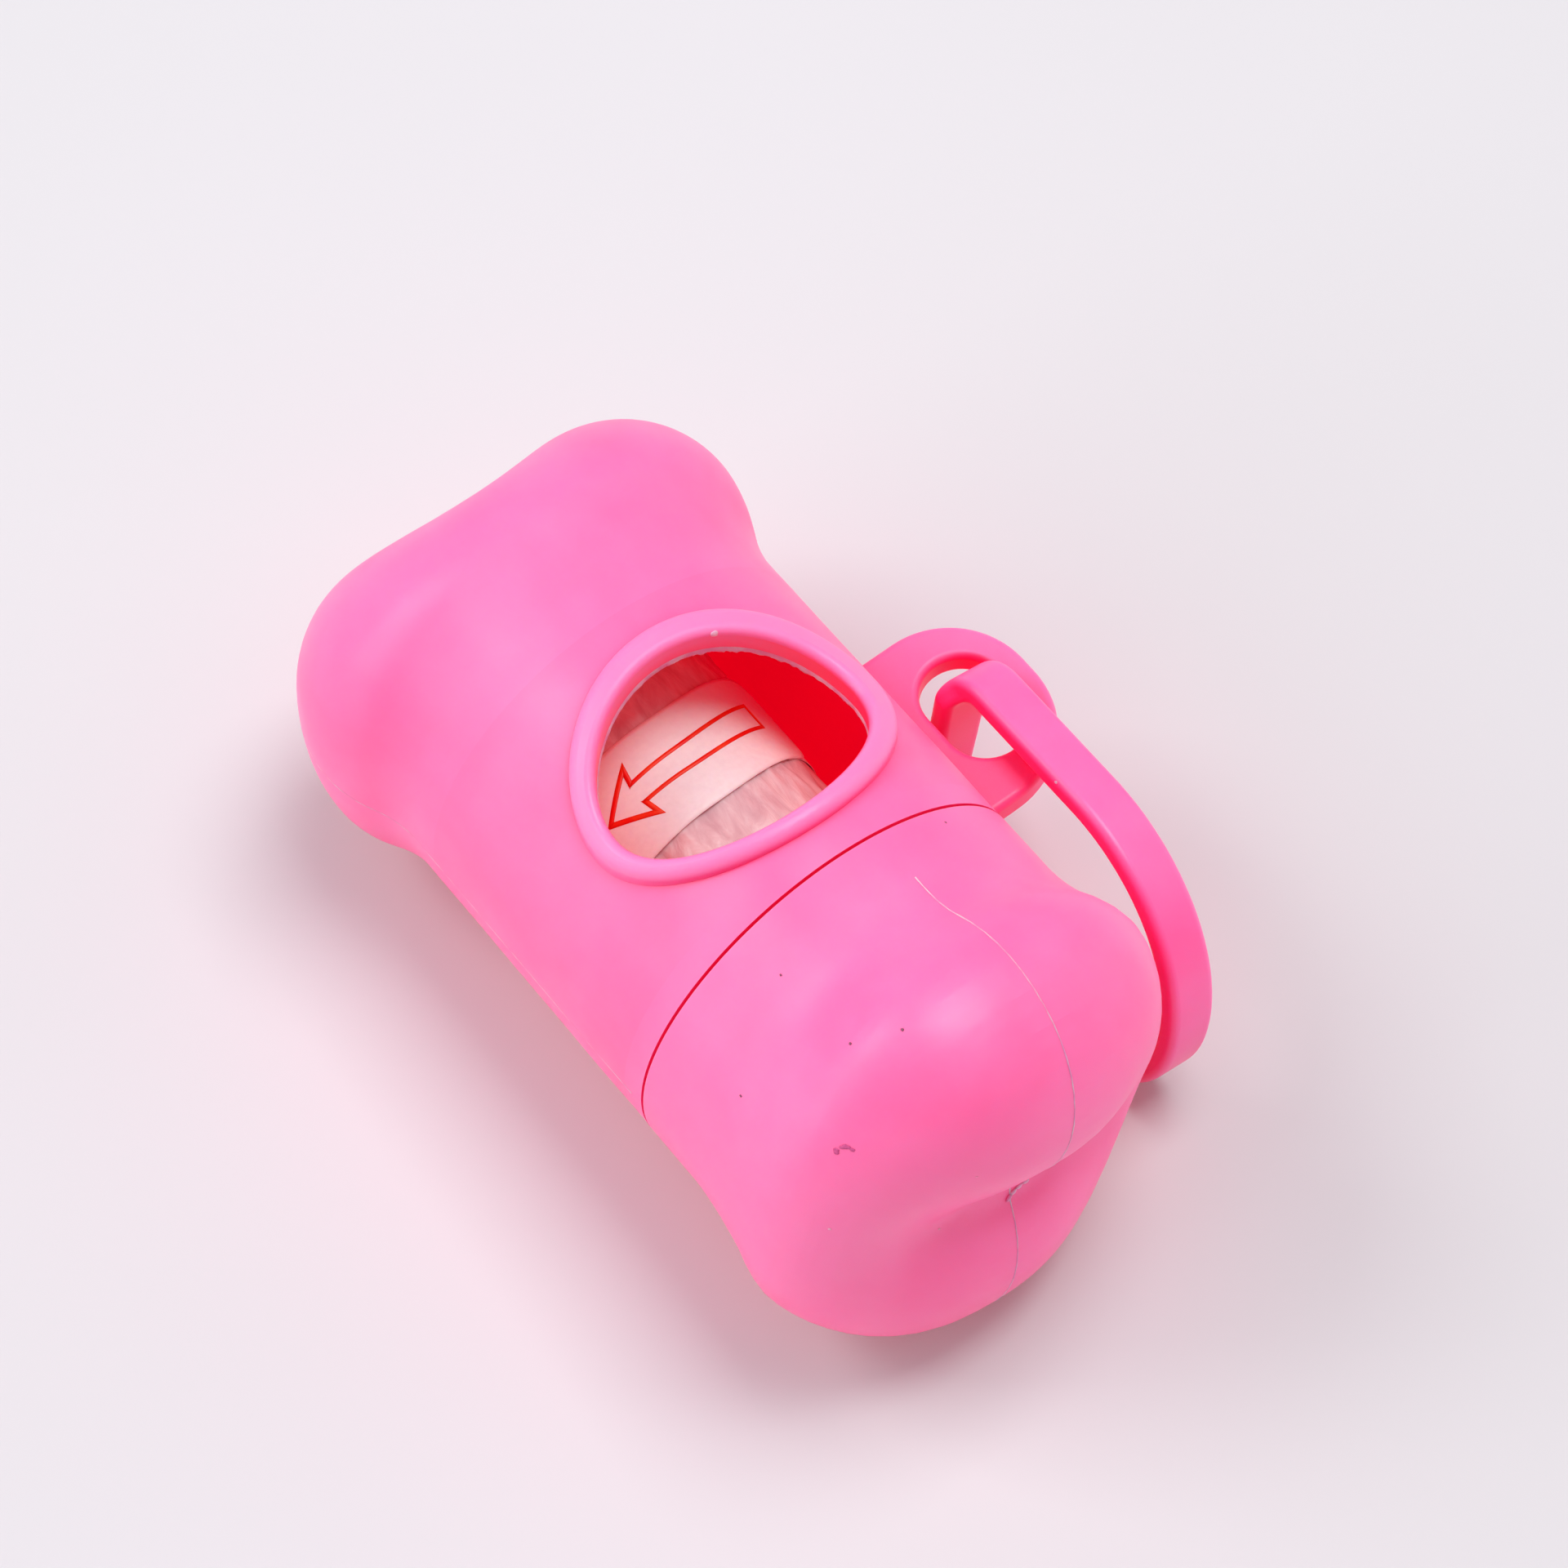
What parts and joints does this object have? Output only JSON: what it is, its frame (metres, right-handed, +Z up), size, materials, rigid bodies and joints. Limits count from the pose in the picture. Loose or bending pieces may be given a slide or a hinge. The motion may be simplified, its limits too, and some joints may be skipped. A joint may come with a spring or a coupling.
{
  "type": "dog poop bag dispenser",
  "caption": "Bone-shaped soft plastic holder for a roll of dog waste bags: screw-on end cap, window the bags pull out of, and a strap loop through an eyelet.",
  "frame": {"origin": "middle of the seam between holder and cap, on the axis of the bone", "axes": "+X along the bone to the cap, +Y to the eyelet tab, +Z up through the window"},
  "size_m": [0.084, 0.055, 0.0458],
  "materials": {
    "soft_pink_plastic": "satin moulded",
    "strap_plastic": "satin moulded",
    "core_board": "wound board",
    "bag_film": "clear wound film",
    "band_paper": "smooth"
  },
  "bodies": {
    "shell": {"body_shell": "soft_pink_plastic"},
    "tube": {"roll_core": "core_board"},
    "cap": {"end_cap": "soft_pink_plastic"},
    "roll": {"bag_roll": "bag_film", "roll_band": "band_paper"},
    "strap": {"carry_strap": "strap_plastic"}
  },
  "joints": [
    {"name": "cap_advance", "type": "slide", "parent": "shell", "child": "tube", "axis": [1, 0, 0], "range_m": [0, 0.0121]},
    {"name": "cap_turn", "type": "hinge", "parent": "tube", "child": "cap", "pos_m": [0, 0, 0], "axis": [1, 0, 0], "range_deg": [0, 1080]},
    {"name": "roll_spin", "type": "hinge", "parent": "tube", "child": "roll", "pos_m": [0, 0, -0.0033], "axis": [1, 0, 0], "continuous": true},
    {"name": "strap_swing", "type": "hinge", "parent": "shell", "child": "strap", "pos_m": [-0.0143, 0.0265, 0], "axis": [0, 0, 1], "range_deg": [0, 150]}
  ],
  "couplings": [
    {"joint": "cap_advance", "follows": "cap_turn", "m_per_rad": 0.00063662}
  ]
}
